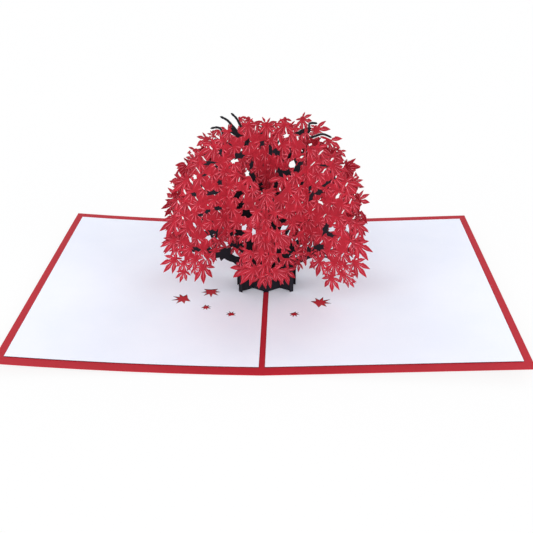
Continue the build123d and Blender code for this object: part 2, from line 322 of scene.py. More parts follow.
def hung_leaf(s, z, lean, kind, index, lobes=lobe_shares, growth=1):
    """Heart, length and outlines of a leaf of some kind hung at a place on the sheet."""
    middle_length, length_swing, length_rate, turn_swing, turn_rate = kind
    turn = swayed((lean, turn_swing), index, turn_rate)
    length = growth * (middle_length * swayed((1, length_swing), index, length_rate))
    return (s, z), length, [place(outline, s, z, turn) for outline in leaf(length, lobes)]


def edge_leaves(outline, start):
    """Leaves along the edge of a foliage sheet, drooping and leaning outward."""
    leaves = []
    for step, ((s, z), (out_s, _)) in enumerate(walk(outline, leaf_pitch), start):
        small = step % small_leaf_every == small_leaf_every - 1
        lobes, growth = (small_lobe_shares, small_leaf_share) if small else (lobe_shares, 1)
        leaves.append(hung_leaf(s, z, edge_lean * out_s, edge_kind, step, lobes, growth))
    return leaves


def between_leaves(outline, start):
    """Small leaves that fill in between some of the large ones."""
    leaves = []
    for step, ((s, z), (out_s, out_z)) in enumerate(walk(outline, leaf_pitch / 2)[1::2], start):
        if step % 2:
            s -= between_inset * out_s
            z -= between_inset * out_z
            leaves.append(hung_leaf(s, z, between_lean * out_s, between_kind, step, small_lobe_shares))
    return leaves


def inside(point, outline):
    s, z = point
    hit = False
    for (s0, z0), (s1, z1) in zip(outline, outline[1:] + outline[:1]):
        if (z0 > z) != (z1 > z) and s < s0 + (z - z0) / (z1 - z0) * (s1 - s0):
            hit = not hit
    return hit


def edge_distance(point, outline):
    nearest = overrun
    for a, b in zip(outline, outline[1:] + outline[:1]):
        run = run_to(a, b)
        size = run[0] ** 2 + run[1] ** 2
        share = ((point[0] - a[0]) * run[0] + (point[1] - a[1]) * run[1]) / size
        nearest = min(nearest, dist(point, ahead(a, run, min(1, max(0, share)))))
    return nearest


def inner_leaves(outline, start):
    """Leaves that cover the inside of a foliage sheet in rows."""
    leaves = []
    index = start
    for row in range(1, round(crown_height / row_pitch) + 1):
        for column in range(-inner_columns, inner_columns + 1):
            index += 1
            s = swayed(((column + 0.5 * (row % 2)) * column_pitch, inner_sway), index, 3)
            z = swayed((row * row_pitch, inner_sway), index, 5)
            if inside((s, z), outline) and edge_distance((s, z), outline) >= inner_edge_gap:
                leaves.append(hung_leaf(s, z, inner_lean * s / crown_reach, inner_kind, index))
    return leaves


def diamond(heart, run, reaches, side):
    """Slim pointed shape along a run from a leaf's heart, widest at the middle one of its reaches."""
    start, middle, end = [ahead(heart, run, reach) for reach in reaches]
    return [start, ahead(middle, side, -1), end, ahead(middle, side)]


def leaf_slits(heart, outlines, length, half):
    """Slim slits cut between neighbouring lobes."""
    slits = []
    runs = [run_to(heart, outline[len(outline) // 2]) for outline in outlines[1:]]
    for a, b in zip(runs, runs[1:]):
        sizes = (hypot(*a), hypot(*b))
        run = (a[0] / sizes[0] + b[0] / sizes[1], a[1] / sizes[0] + b[1] / sizes[1])
        size = hypot(*run)
        run = (run[0] / size, run[1] / size)
        start = slit_start_share * length
        end = slit_end_share * min(sizes)
        middle = start + slit_middle_share * (end - start)
        slits.append(diamond(heart, run, (start, middle, end), (-run[1] * half, run[0] * half)))
    return slits


def leaf_veins(heart, outlines):
    """Midribs of a leaf's lobes as score lines, from its heart towards each tip; their pale pink is a
    painted highlight.
    """
    veins = []
    for outline in outlines[2:-1]:
        run = run_to(heart, outline[len(outline) // 2])
        size = hypot(*run)
        side = (-run[1] / size * vein_half, run[0] / size * vein_half)
        veins.append(diamond(heart, run, vein_shares, side))
    return veins


def mirrored(points):
    return [(-s, z) for s, z in points]


def crown_places(shares):
    return [(s * crown_reach, z * crown_height) for s, z in shares]


def bough_places(shares):
    return [(s * side_offset, z * crown_height) for s, z in shares]


def slot(family, own_offset, partner_offset, layers, low, high):
    """Slot for a partner of one or two layers, from a low to a high place on the sheet."""
    middle = family * (partner_offset - own_offset)
    partner = layers * sheet_thickness / sin(crossing_turn)
    half = (partner + sheet_thickness / tan(crossing_turn) + slot_clearance) / 2
    return rectangle(middle - half, middle + half, low, high)


def half_slot(family, own_offset, partner_offset, layers, meeting_height):
    """Slot from below in a sheet of one family, and from above in a sheet of the other."""
    low, high = (-overrun, meeting_height) if family > 0 else (meeting_height, overrun)
    return slot(family, own_offset, partner_offset, layers, low, high)


# Outlines that the foliage leaves are set along, in shares of the crown's reach and height.
top_shares = [
    (0, 0.94), (0.18, 0.955), (0.3, 0.96), (0.42, 0.915), (0.54, 0.845), (0.66, 0.785), (0.77, 0.715),
]
rim_shares = [(0.85, 0.61), (0.9, 0.46), (0.9, 0.32)]
left_droop_shares = [
    (0.89, 0.24), (0.81, 0.215), (0.71, 0.21), (0.61, 0.225), (0.54, 0.27), (0.48, 0.35), (0.36, 0.42),
    (0.2, 0.46),
]
right_droop_shares = [
    (0.86, 0.22), (0.78, 0.155), (0.66, 0.17), (0.57, 0.25), (0.47, 0.31), (0.36, 0.2), (0.28, 0.22),
    (0.2, 0.44),
]
side_crown_shares = [
    (0.01, 0.655), (0.1, 0.68), (0.2, 0.735), (0.31, 0.785), (0.42, 0.82), (0.6, 0.815), (0.77, 0.74),
]
side_rim_shares = [(0.88, 0.63), (0.95, 0.48), (0.95, 0.33), (0.88, 0.24), (0.76, 0.23)]
side_low_shares = [(0.6, 0.29), (0.45, 0.38), (0.36, 0.4), (0.3, 0.33), (0.28, 0.23)]
tail_shares = [(0.18, 0.18), (0.05, 0.185), (-0.07, 0.2), (-0.15, 0.3), (-0.13, 0.43), (-0.08, 0.57)]

left_half = crown_places(top_shares + rim_shares + left_droop_shares)
right_half = crown_places(top_shares + rim_shares + right_droop_shares)
left_main_outline = mirrored(left_half) + left_half[::-1][:-1]
right_main_outline = right_half + mirrored(right_half)[::-1][:-1]
side_outline = crown_places(side_crown_shares + side_rim_shares + side_low_shares + tail_shares)

# Gaps between leaves on the rear halves and the rear sheets, in shares of the crown's reach and
# height: place, length, width and turn.
left_main_gaps = [
    (0.53, 0.62, 7.5, 3, 80), (0.45, 0.68, 6, 3, 20), (0.585, 0.525, 7, 3, 110), (0.48, 0.53, 6, 3, 40),
    (0.545, 0.405, 7.5, 3, 70), (0.27, 0.79, 7, 3, 100), (0.155, 0.73, 6, 2.6, 20), (0.28, 0.55, 8, 3.2, 60),
    (0.69, 0.63, 7, 2.8, 40),
]
right_main_gaps = [
    (0.52, 0.63, 7.5, 3, 50), (0.1, 0.79, 6, 2.6, 0), (0.2, 0.7, 7, 3, 130), (0.28, 0.745, 7.5, 3, 70),
    (0.46, 0.595, 6, 2.6, 20), (0.605, 0.69, 7.5, 2.6, 60), (0.62, 0.43, 8, 3.2, 100),
    (0.54, 0.32, 7, 3, 60), (0.27, 0.29, 6, 2.6, 20),
]
left_side_gaps = [
    (0.28, 0.61, 7, 3, 50), (0.245, 0.55, 6, 3, 60), (0.19, 0.5, 7, 3.2, 120), (0.26, 0.4, 7, 3, 80),
    (0.15, 0.335, 6, 3, 20), (0.12, 0.42, 5, 2.4, 0), (0.5, 0.71, 8, 3, 75), (0.68, 0.6, 7.5, 2.6, 120),
    (0.7, 0.4, 8.5, 3, 40),
]
right_side_gaps = [
    (0.18, 0.46, 7, 3, 90), (0.22, 0.4, 6, 3, 20), (0.085, 0.47, 6, 2.6, 40), (0.27, 0.33, 6, 2.6, 30),
    (0.13, 0.31, 5, 2.6, 60), (0.14, 0.6, 7.5, 3, 15), (0.52, 0.5, 8, 3, 100), (0.68, 0.6, 7.5, 2.6, 120),
    (0.7, 0.4, 8.5, 3, 40),
]

# Windows between the leaves of the front half, cut along the line of sight: place in the plane
# through the spine's middle, length, width, turn and depth. They reach the front halves of the
# boughs, their rear halves (depth 1), or go through the whole tree.
front_half_depth = 0
whole_tree_depth = 2
eye = (11.1, -409.6, 220.4)
windows = [
    (-29, 56, 7.6, 2.6, 0, 0), (-39, 55, 2.8, 2.3, 0, 0), (-25, 62, 3, 2.9, 90, 0),
    (-32, 45, 4, 2.2, 30, 0), (-26, 47, 4.5, 2.4, 10, 0), (-36, 43, 3.6, 2, 15, 0),
    (-35, 40, 3, 1.4, 90, 2), (-30, 33, 4.8, 2.8, 0, 0), (-31, 30, 5.4, 3.1, 30, 2),
    (-42, 28, 4, 1.5, 90, 2), (-29, 73, 5.6, 1.4, 0, 0), (-38, 65, 2.8, 2, 90, 2),
    (-15, 55, 5.4, 3.6, 45, 0), (-14, 49, 5.4, 3.2, 60, 0), (-11, 44, 6.6, 4.7, -30, 0),
    (-19, 32, 3, 2.2, 90, 0), (-15, 33, 5.6, 3.8, -20, 0), (-12, 36, 4.8, 2.5, 60, 2),
    (-7, 33, 4.4, 2.2, 90, 2), (-9, 25, 7, 4, 70, 0), (-17, 18, 7.5, 3.6, -65, 2),
    (-7, 15, 5, 2.1, -65, 0), (-14, 77, 5.4, 3.6, -10, 0), (-17, 74, 4.4, 2.4, 20, 2),
    (-8, 72, 5.4, 2.5, 80, 0), (-10, 67, 4, 2.4, 80, 2), (-7, 65, 5.4, 2.8, -70, 0),
    (-2, 84, 3.6, 3, 0, 0), (-10, 84, 4, 2.4, 60, 1), (1, 80, 6.4, 2.5, 90, 0), (5, 79, 5, 3.4, -60, 0),
    (11, 68, 4.6, 3.5, 0, 0), (7, 68, 5.6, 3, -60, 0), (5, 61, 4.6, 2.5, 60, 0),
    (-2, 58, 4.6, 3, -30, 0), (14, 73, 5.8, 3.8, 60, 2), (16, 70, 5.8, 3.3, 60, 0),
    (18, 73, 3.4, 2.4, 30, 0), (10, 88, 3.4, 2, 10, 2), (18, 90, 7, 2.4, 20, 1),
    (-16, 89, 7, 3, -30, 1), (23, 59, 3.8, 1.8, 50, 0), (28, 57, 4.4, 3.2, 35, 0),
    (24, 54, 5.8, 2.6, 75, 0), (32, 62, 7, 1.8, 35, 0), (29, 51, 3.6, 1.7, -30, 2),
    (38, 55, 3.8, 1.7, 65, 2), (32, 35, 8.2, 2.8, 80, 0), (35, 32, 5.6, 2.8, -15, 0),
    (35.5, 35.5, 3.8, 2.8, 0, 2), (9, 40, 4.4, 2.8, 0, 2), (9, 36, 6, 2.8, 10, 2),
    (11.5, 33, 4, 2.6, 65, 2), (4, 37, 5, 2.6, -60, 0), (29, 24, 5.2, 4.5, 35, 0),
    (23, 23, 4, 3.4, 0, 0), (14, 24, 5, 2.6, -60, 0), (7, 22, 4, 2.6, 65, 0),
    (17, 28, 4.6, 1.7, -70, 2), (44, 36, 5.4, 1.7, -80, 2), (30, 72, 4.6, 1.3, -10, 0),
    (4, 13, 4.6, 2.1, 65, 0), (11, 19, 5, 3.4, 0, 2), (22, 17, 5, 4, 0, 2),
    (-24.5, 20, 6.4, 5.4, 15, 0), (-39, 22.5, 5, 3, -15, 0), (19, 62, 3, 1.6, 60, 0),
    (12, 77, 4, 1.8, 70, 1), (20, 80, 4.4, 2, 60, 1), (-22, 80, 4, 1.8, 20, 0), (-3, 61, 3, 2, 40, 0),
    (-33, 66, 3, 1.4, 10, 0), (6, 56, 3, 1.8, 20, 0), (-18, 25, 4, 2.2, -30, 0),
]

# Boughs of the two tall trunk sheets: width at the root, and course from the trunk outward in
# shares of the side sheets' offset and the crown's height.
shared_boughs = [
    (low_bough_width, [(0.15, 0.13), (0.5, 0.165), (0.9, 0.225), (1.3, 0.285), (1.65, 0.315), (1.95, 0.38)]),
    (bough_width, [(0.075, 0.36), (0.2, 0.52), (0.3, 0.68), (0.45, 0.8), (0.7, 0.86), (0.95, 0.865)]),
    (twig_width, [(0.225, 0.56), (0.12, 0.72), (0.17, 0.84), (0.1, 0.93)]),
]
left_boughs = shared_boughs + [
    (bough_width, [(0.15, 0.19), (0.44, 0.275), (0.67, 0.355), (0.9, 0.375)]),
    (bough_width, [(0.1, 0.26), (0.3, 0.42), (0.65, 0.55), (1, 0.62), (1.35, 0.635), (1.7, 0.65)]),
    (twig_width, [(1.1, 0.62), (1.25, 0.55), (1.45, 0.51), (1.7, 0.52)]),
    (twig_width, [(1.25, 0.28), (1.33, 0.36), (1.42, 0.405), (1.6, 0.415), (1.83, 0.41)]),
]
right_boughs = shared_boughs + [
    (bough_width, [(0.15, 0.19), (0.35, 0.24), (0.67, 0.275), (1.08, 0.29), (1.34, 0.318)]),
    (bough_width, [(0.1, 0.26), (0.35, 0.4), (0.7, 0.49), (1, 0.53), (1.25, 0.61), (1.7, 0.71)]),
    (twig_width, [(1.35, 0.63), (1.5, 0.56), (1.7, 0.53), (1.85, 0.55)]),
    (twig_width, [(1.25, 0.28), (1.46, 0.35), (1.49, 0.42), (1.55, 0.475)]),
    (twig_width, [(1.48, 0.4), (1.6, 0.418), (1.78, 0.405)]),
]

# Twigs that only the rear half of a tall trunk sheet has. They stand out over the crown.
left_rear_twigs = [
    [(0.7, 0.86), (1.06, 0.86), (1.075, 0.905), (1.28, 0.9)],
    [(0.9, 0.862), (1.05, 0.83), (1.2, 0.83), (1.43, 0.835), (1.67, 0.807)],
]
right_rear_twigs = [
    [(0.45, 0.81), (0.6, 0.875), (0.75, 0.937), (0.91, 0.965)],
    [(0.7, 0.86), (0.93, 0.908), (1.03, 0.925), (1.2, 0.936)],
    [(1.25, 0.61), (1.2, 0.7), (1.13, 0.8), (1.16, 0.857), (1.27, 0.873), (1.47, 0.86)],
    [(1.13, 0.79), (1.24, 0.8), (1.38, 0.804)],
]


def smooth(course, pieces=5):
    """Places along a smooth curve through a course."""
    ends = [course[0]] + course + [course[-1]]
    path = []
    for a, b, c, d in zip(ends, ends[1:], ends[2:], ends[3:]):
        for piece in range(pieces):
            t = piece / pieces
            spot = []
            for p, q, r, s in zip(a, b, c, d):
                cubic = (3 * q - p - 3 * r + s) * t**3 + (2 * p - 5 * q + 4 * r - s) * t**2
                spot.append(0.5 * (cubic + (r - p) * t + 2 * q))
            path.append(tuple(spot))
    return path + [course[-1]]


def bough(course, root_width):
    """Short pieces of a bough that narrows along its smooth course to a point."""
    path = smooth(course)
    rims = []
    for index, (s, z) in enumerate(path):
        normal = outward(path[min(index + 1, len(path) - 1)], path[max(index - 1, 0)])
        share = index / (len(path) - 1)
        knots = 1 + knot_share * sin(index * knot_rate + s)
        half = (root_width + (bough_end_width - root_width) * share**taper_power) / 2 * knots
        half = half if index < len(path) - 1 else bough_tip_half
        rims.append((ahead((s, z), normal, half), ahead((s, z), normal, -half)))
    return [[a[0], a[1], b[1], b[0]] for a, b in zip(rims, rims[1:])]


def floor_height(s):
    """Height of the panels' top under a place on a standing sheet."""
    return lift(s * along) + cover_thickness + glue_film + panel_thickness + floor_clearance


def trunk_points():
    """Trunk of a tall sheet: wide roots on the panels, a waist, and a fork at the top."""
    half = wall_length
    flank = [(root_half, root_height)] + root_flank + [(trunk_waist_half, trunk_waist_height)]
    flank += [fork_flank, (trunk_waist_half / 2, trunk_height)]
    right = [(half, floor_height(half)), (half, trunk_end_height)] + smooth(flank, 4)
    left = [(-half, floor_height(-half))] + mirrored(right[1:])
    return [(0, floor_height(0))] + right + [(0, fork_height)] + left[::-1]


def tab_points(side):
    """A tab that reaches down through its slit to the cover."""
    ends = [side * tab_start, side * (tab_start + tab_length)]
    low = [(s, lift(s * along) + cover_thickness + floor_clearance) for s in ends]
    return low + [(s, floor_height(s) + floor_clearance) for s in ends[::-1]]


# Triangulation: it keeps what lies inside the outlines and merges corners that are this close.
inside_outlines = 1
merge_distance = 1e-5


def cut_paper(kept, cuts, scored_highlights=(), openings=()):
    """Corners and triangles of paper inside the kept outlines and outside the cuts and openings.

    Each triangle comes with its topmost kept outline and whether it lies on a score line painted
    as a highlight. An opening that would part the sheet stays closed, and loose crumbs drop out.
    """
    corners = []
    rings = []
    for outline in [*kept, *scored_highlights, *cuts, *openings]:
        ring = counterclockwise(outline)
        rings.append(list(range(len(corners), len(corners) + len(ring))))
        corners += [Vector(corner) for corner in ring]
    first_scored_highlight = len(kept)
    first_cut = first_scored_highlight + len(scored_highlights)
    first_opening = first_cut + len(cuts)
    found = delaunay_2d_cdt(corners, [], rings, inside_outlines, merge_distance, True)
    triangles = []
    opened = []
    for corner_numbers, sources in zip(found[2], found[5]):
        under = [source for source in sources if source < first_scored_highlight]
        cut = [source for source in sources if first_cut <= source < first_opening]
        if under and not cut:
            is_scored_highlight = any(first_scored_highlight <= source < first_cut for source in sources)
            triangles.append((tuple(corner_numbers), max(under), is_scored_highlight))
            opened.append({source for source in sources if source >= first_opening})
    return found[0], whole_sheet(found[0], triangles, opened)


def neighbours(triangles):
    """Numbers of the triangles that share an edge with each triangle."""
    at_edge = {}
    for number, (corners, _, _) in enumerate(triangles):
        for a, b in zip(corners, corners[1:] + corners[:1]):
            at_edge.setdefault((min(a, b), max(a, b)), []).append(number)
    beside = [[] for _ in triangles]
    for numbers in at_edge.values():
        for number in numbers:
            beside[number] += [other for other in numbers if other != number]
    return beside


def whole_sheet(points, triangles, opened):
    """The triangles outside the openings that hold together, with the fewest openings closed."""
    beside = neighbours(triangles)
    areas = [abs(signed_area([points[corner] for corner in corners])) for corners, _, _ in triangles]
    sizes = list(areas)
    home = list(range(len(triangles)))

    def root(number):
        while home[number] != number:
            home[number] = home[home[number]]
            number = home[number]
        return number

    def merge(one, other):
        if root(one) != root(other):
            sizes[root(one)] += sizes[root(other)]
            home[root(other)] = root(one)

    members = {}
    for number, openings in enumerate(opened):
        for opening in openings:
            members.setdefault(opening, []).append(number)
        for other in beside[number]:
            if not openings and not opened[other]:
                merge(number, other)
    least = least_patch_share * sum(area for area, openings in zip(areas, opened) if not openings)
    closed = set()
    for opening in sorted(members, key=lambda one: sum(areas[number] for number in members[one])):
        alone = [number for number in members[opening] if not opened[number] - closed - {opening}]
        around = {root(other) for number in alone for other in beside[number] if not opened[other]}
        large = [patch for patch in around if sizes[patch] > least]
        if len(large) > 1:
            closed.add(opening)
            for patch in large[1:]:
                merge(large[0], patch)
    best = root(sizes.index(max(sizes)))
    kept = []
    for number, openings in enumerate(opened):
        if not openings - closed and (openings or root(number) == best):
            kept.append(triangles[number])
    return kept


# Materials of a sheet's faces by their place in its list, and the tones that shade its leaves.
paper_finish, rim_finish, scored_highlight_finish = range(3)
middle_tone = 0.5
tone_swing = 0.5


def leaf_lean(points, triangles, leaf_of):
    """Lean of each corner out of its sheet, growing from its leaf's heart to the tips."""
    top = {}
    for corners, layer, _ in triangles:
        for corner in corners:
            top[corner] = max(top.get(corner, 0), layer)
    lean = {}
    for corner, layer in top.items():
        if layer in leaf_of:
            heart, length, tilt = leaf_of[layer]
            lean[corner] = tilt * min(dist(points[corner], heart) / length, 1) ** 2
    return lean


def thick_sheet(name, sheet, spot, materials, thickness=sheet_thickness, leaf_of=(), folds=()):
    """Sheet mesh: a front and a back face over the triangles, and walls round their rims."""
    points, triangles = sheet
    used = sorted({corner for corners, _, _ in triangles for corner in corners})
    number = {old: new for new, old in enumerate(used)}
    count = len(used)
    lean = leaf_lean(points, triangles, leaf_of)
    halves = (thickness / 2, -thickness / 2)
    places = [spot(points[old], half + lean.get(old, 0)) for half in halves for old in used]
    faces = []
    finishes = []
    tones = []
    rims = set()
    for corners, layer, is_scored_highlight in triangles:
        a, b, c = (number[corner] for corner in corners)
        faces += [(a, b, c), (a + count, c + count, b + count)]
        finishes += [scored_highlight_finish if is_scored_highlight else paper_finish, paper_finish]
        tones += [swayed((middle_tone, tone_swing), layer, 3)] * 2
        for edge in ((a, b), (b, c), (c, a)):
            if edge[::-1] in rims:
                rims.remove(edge[::-1])
            else:
                rims.add(edge)
    faces += [(b, a, a + count, b + count) for a, b in sorted(rims)]
    finishes += [rim_finish] * len(rims)
    tones += [middle_tone] * len(rims)
    for fold_spot, outline in folds:
        first = len(places)
        places += [fold_spot(corner, half) for half in halves for corner in outline]
        sides = [((n + 1) % 4, n, n + 4, (n + 1) % 4 + 4) for n in range(4)]
        faces += [tuple(first + k for k in side) for side in [(0, 1, 2, 3), (7, 6, 5, 4)] + sides]
        finishes += [paper_finish] * 2 + [rim_finish] * 4
        tones += [middle_tone] * 6
    vertices = [(x * mm, y * mm, z * mm) for x, y, z in places]
    mesh = bpy.data.meshes.new(name)
    mesh.from_pydata(vertices, [], faces)
    for material in materials:
        mesh.materials.append(material)
    mesh.polygons.foreach_set("material_index", finishes)
    tone_layer = mesh.attributes.new("tone", "FLOAT", "FACE")
    tone_layer.data.foreach_set("value", tones)
    mesh.update()
    piece = bpy.data.objects.new(name, mesh)
    scene.collection.objects.link(piece)
    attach(piece, "root")
    return piece


def standing_spot(family, offset):
    """Place in the card's frame of a place on a standing sheet and its distance to the front."""

    def spot(point, out):
        x = point[0] * along + out * family * across
        y = offset + point[0] * family * across - out * along
        return x, y, point[1]

    return spot


def end_folds(family):
    """Place and outline of the strip that is folded back at each end of a tall trunk sheet."""
    folds = []
    for side in (-1, 1):
        end = side * wall_length
        inner = side * (wall_length - end_fold_length)
        corners = [(end, floor_height(end)), (end, trunk_end_height)]
        corners += [(inner, trunk_end_height), (inner, floor_height(inner))]
        folds.append((standing_spot(-family, 2 * family * end * across), counterclockwise(corners)))
    return folds


def panel_spot(point, out):
    x, y = point
    return x, y, lift(x) + cover_thickness + glue_film + panel_thickness / 2 + out


def linear(*levels):
    """Shader colour of an 8-bit screen colour."""
    shares = [level / 255 for level in levels]
    return [s / 12.92 if s <= 0.04045 else ((s + 0.055) / 1.055) ** 2.4 for s in shares] + [1]


def feed(node, inputs):
    """Give a node's inputs a value, or join them to the output of another node."""
    for name, source in inputs:
        if isinstance(source, bpy.types.NodeSocket):
            node.id_data.links.new(source, node.inputs[name])
        else:
            node.inputs[name].default_value = source


def add_node(tree, kind, output, inputs=(), **settings):
    """Output of a new shader node with its settings and inputs."""
    node = tree.nodes.new(kind)
    for name, setting in settings.items():
        setattr(node, name, setting)
    feed(node, inputs)
    return node.outputs[output]


# Paper: noise of its fibres and of its mottled colour.
paper_specular = 0.15
fibre_stretch = (1, 1, 0.45)
fibre_noise = [("Scale", 1400), ("Detail", 5), ("Roughness", 0.65)]
fibre_strength = 0.5
cloud_noise = [("Scale", 45), ("Detail", 3)]
mottle_span = [("From Min", 0.7), ("From Max", 1.3)]


def paper(name, colour, deep_colour, roughness, relief=0.00004, tone_share=0.0):
    """Uncoated paper: mottled colour and fine felted fibres that catch the light."""
    material = bpy.data.materials.new(name)
    material.use_nodes = True
    tree = material.node_tree
    ground = add_node(tree, "ShaderNodeTexCoord", "Object")
    stretch = add_node(tree, "ShaderNodeMapping", "Vector", [("Vector", ground), ("Scale", fibre_stretch)])
    fibres = add_node(tree, "ShaderNodeTexNoise", "Fac", [("Vector", stretch)] + fibre_noise)
    clouds = add_node(tree, "ShaderNodeTexNoise", "Fac", [("Vector", ground)] + cloud_noise)
    mottle = add_node(tree, "ShaderNodeMath", "Value", [(0, fibres), (1, clouds)], operation="ADD")
    spread = add_node(tree, "ShaderNodeMapRange", "Result", [("Value", mottle)] + mottle_span)
    ends = [("Factor", spread), ("A", linear(*deep_colour)), ("B", linear(*colour))]
    shade = add_node(tree, "ShaderNodeMix", "Result", ends, data_type="RGBA")
    if tone_share:
        tone = add_node(tree, "ShaderNodeAttribute", "Fac", attribute_name="tone")
        span = [("Value", tone), ("To Min", 1 - tone_share), ("To Max", 1 + tone_share)]
        level = add_node(tree, "ShaderNodeMapRange", "Result", span)
        scaled = [(0, shade), ("Scale", level)]
        shade = add_node(tree, "ShaderNodeVectorMath", "Vector", scaled, operation="SCALE")
    felt = [("Height", fibres), ("Strength", fibre_strength), ("Distance", relief)]
    bump = add_node(tree, "ShaderNodeBump", "Normal", felt)
    surface = [("Roughness", roughness), ("Specular IOR Level", paper_specular)]
    feed(tree.nodes["Principled BSDF"], surface + [("Base Color", shade), ("Normal", bump)])
    return material


cover_card = paper("red_card", (181, 35, 49), (172, 31, 44), 0.6)
panel_paper = paper("white_panel_paper", (241, 244, 254), (236, 240, 252), 0.7, relief=0.00002)
# The dark brown of the panels' cut walls is partly laser scorch and partly painted shade of the holes' rims.
panel_edge = paper("scorched_and_shaded_panel_edge", (70, 42, 38), (38, 20, 20), 0.8)
foliage_paper = paper("red_leaf_paper", (170, 31, 47), (157, 27, 42), 0.6, tone_share=0.16)
# The pale pink of the leaf sheets' cut rims is a painted highlight.
foliage_edge_highlight = paper("red_leaf_edge_highlight", (200, 88, 102), (176, 62, 76), 0.75)
# The score lines along the veins are painted a pale pink highlight.
foliage_score_highlight = paper("red_leaf_score_highlight", (226, 122, 136), (206, 92, 106), 0.7)
trunk_paper = paper("black_paper", (27, 24, 33), (20, 18, 25), 0.6)
trunk_edge = paper("black_paper_edge", (32, 28, 33), (20, 17, 20), 0.7)


def gap(s, z, length, width, turn, seed):
    """Ragged gap between leaves, a little different for each seed."""
    shape = []
    for corner in range(gap_corners):
        step = corner + gap_seed_step * seed
        angle = radians(swayed((corner * 360 / gap_corners, gap_corner_sway), step, 3))
        radius = swayed(gap_outer_shares, step, 7) if corner % 2 else swayed(gap_inner_shares, step, 5)
        shape.append((radius * sin(angle) * width, radius * cos(angle) * length))
    return place(shape, s, z, radians(turn))


def rear_gaps(rows, side):
    """Gaps of a rear half or a rear sheet, on one side."""
    gaps = []
    for seed, (s, z, length, width, turn) in enumerate(rows):
        gaps.append(gap(side * s * crown_reach, z * crown_height, length, width, turn, seed))
    return gaps


def seen_behind(points, family, offset):
    """Places on a standing sheet that the eye sees behind places in the plane of the X and Z axes."""
    rise = family * tan(radians(crossing_angle))
    places = []
    for x, z in points:
        run = (x - eye[0], -eye[1], z - eye[2])
        share = (offset + rise * eye[0] - eye[1]) / (run[1] - rise * run[0])
        places.append(((eye[0] + share * run[0]) / along, eye[2] + share * run[2]))
    return places


def kept_off(points, crossings):
    """Outline moved and clipped so that it stays off the crossings with other sheets."""
    for crossing in crossings:
        middle = sum(s for s, _ in points) / len(points)
        side = 1 if middle > crossing else -1
        near = crossing + side * crossing_band
        shift = side * max(0, crossing_band / 2 - side * (middle - near))
        points = [(s + shift, z) for s, z in points]
        clipped = []
        for a, b in zip(points, points[1:] + points[:1]):
            if side * (a[0] - near) > 0:
                clipped.append(a)
            if (a[0] - near) * (b[0] - near) < 0:
                share = (near - a[0]) / (b[0] - a[0])
                clipped.append((near, a[1] + share * (b[1] - a[1])))
        points = clipped
    return points


def specks():
    """Small slits that let the light through the whole tree here and there."""
    found = []
    for index in range(speck_count):
        x = speck_oval[0] * swing(index, 1)
        z = speck_low + speck_span * ((index + 0.5) / speck_count)
        rise = z - speck_middle
        if hypot(x / speck_oval[0], rise / speck_oval[1]) <= 1:
            at_rim = hypot(x / rim_speck_oval[0], rise / rim_speck_oval[1]) > rim_speck_share
            growth = rim_speck_growth if at_rim else 1
            length = growth * swayed(speck_length, index, 5)
            width = growth * swayed(speck_width, index, 7)
            turn = swayed((90 - speck_fan * x, speck_turn_swing), index, 3)
            found.append((x, z, length, width, turn, whole_tree_depth))
    return found


def bough_family(x, depth):
    """Family of the bough sheet that a window shows."""
    return -1 if (x > 0) == (depth == front_half_depth) else 1


def window_gaps(family, offset, crossings):
    """Windows cut through one foliage sheet."""
    gaps = []
    for seed, (x, z, length, width, turn, depth) in enumerate(windows + specks()):
        depth_here = seen_behind([(x, z)], family, offset)[0][0] * family * across + offset
        bearer = bough_family(x, depth)
        bough_place = seen_behind([(x, z)], bearer, -layer_shift)[0][0]
        bough_depth = bough_place * bearer * across - layer_shift
        if depth == whole_tree_depth or depth_here < bough_depth + sheet_thickness:
            outline = seen_behind(gap(x, z, length, width, turn + 90, seed), family, offset)
            gaps.append(kept_off(outline, crossings))
    return gaps


def inset(outline, depth):
    """Outline whose corners are moved inward."""
    ring = counterclockwise(outline)
    moved = []
    for before, corner, after in zip(ring[-1:] + ring[:-1], ring, ring[1:] + ring[:1]):
        s0, z0 = outward(before, corner)
        s1, z1 = outward(corner, after)
        reach = depth / max(sharpest_inset_share, 1 + s0 * s1 + z0 * z1)
        moved.append(ahead(corner, (s0 + s1, z0 + z1), -reach))
    return moved


def foliage_sheet(name, family, offset, outline, gaps, slots, start):
    """One detailed foliage sheet in place of its plain one."""
    kept = [rectangle(*band) for band in slot_bands(outline, slots)]
    kept.append(inset(outline, solid_inset))
    leaf_of = {}
    veins = []
    slits = []
    leaves = inner_leaves(outline, inner_seed_step * start + inner_seed_shift)
    leaves += between_leaves(outline, start) + edge_leaves(outline, start)
    for index, (heart, length, outlines) in enumerate(leaves):
        tilt = leaf_tilt * swing(index + start, 11)
        for one in outlines:
            leaf_of[len(kept)] = (heart, length, tilt)
            kept.append(one)
        veins += leaf_veins(heart, outlines)
        deep = inside(heart, outline) and edge_distance(heart, outline) > solid_inset
        slits += leaf_slits(heart, outlines, length, inner_slit_half if deep else rim_slit_half)
    sheet = cut_paper(kept, slots + slits, veins, gaps)
    materials = (foliage_paper, foliage_edge_highlight, foliage_score_highlight)
    piece = thick_sheet(name, sheet, standing_spot(family, offset), materials, leaf_of=leaf_of)
    return piece


def strips(path, half):
    """Straight strips along a path, a little longer than its steps."""
    pieces = []
    for a, b in zip(path, path[1:]):
        length = dist(a, b)
        run = ((b[0] - a[0]) / length * half, (b[1] - a[1]) / length * half)
        side = (run[1], -run[0])
        ends = (ahead(a, run, -0.5), ahead(b, run, 0.5))
        pieces.append([ahead(end, side) for end in ends] + [ahead(end, side, -1) for end in ends[::-1]])
    return pieces


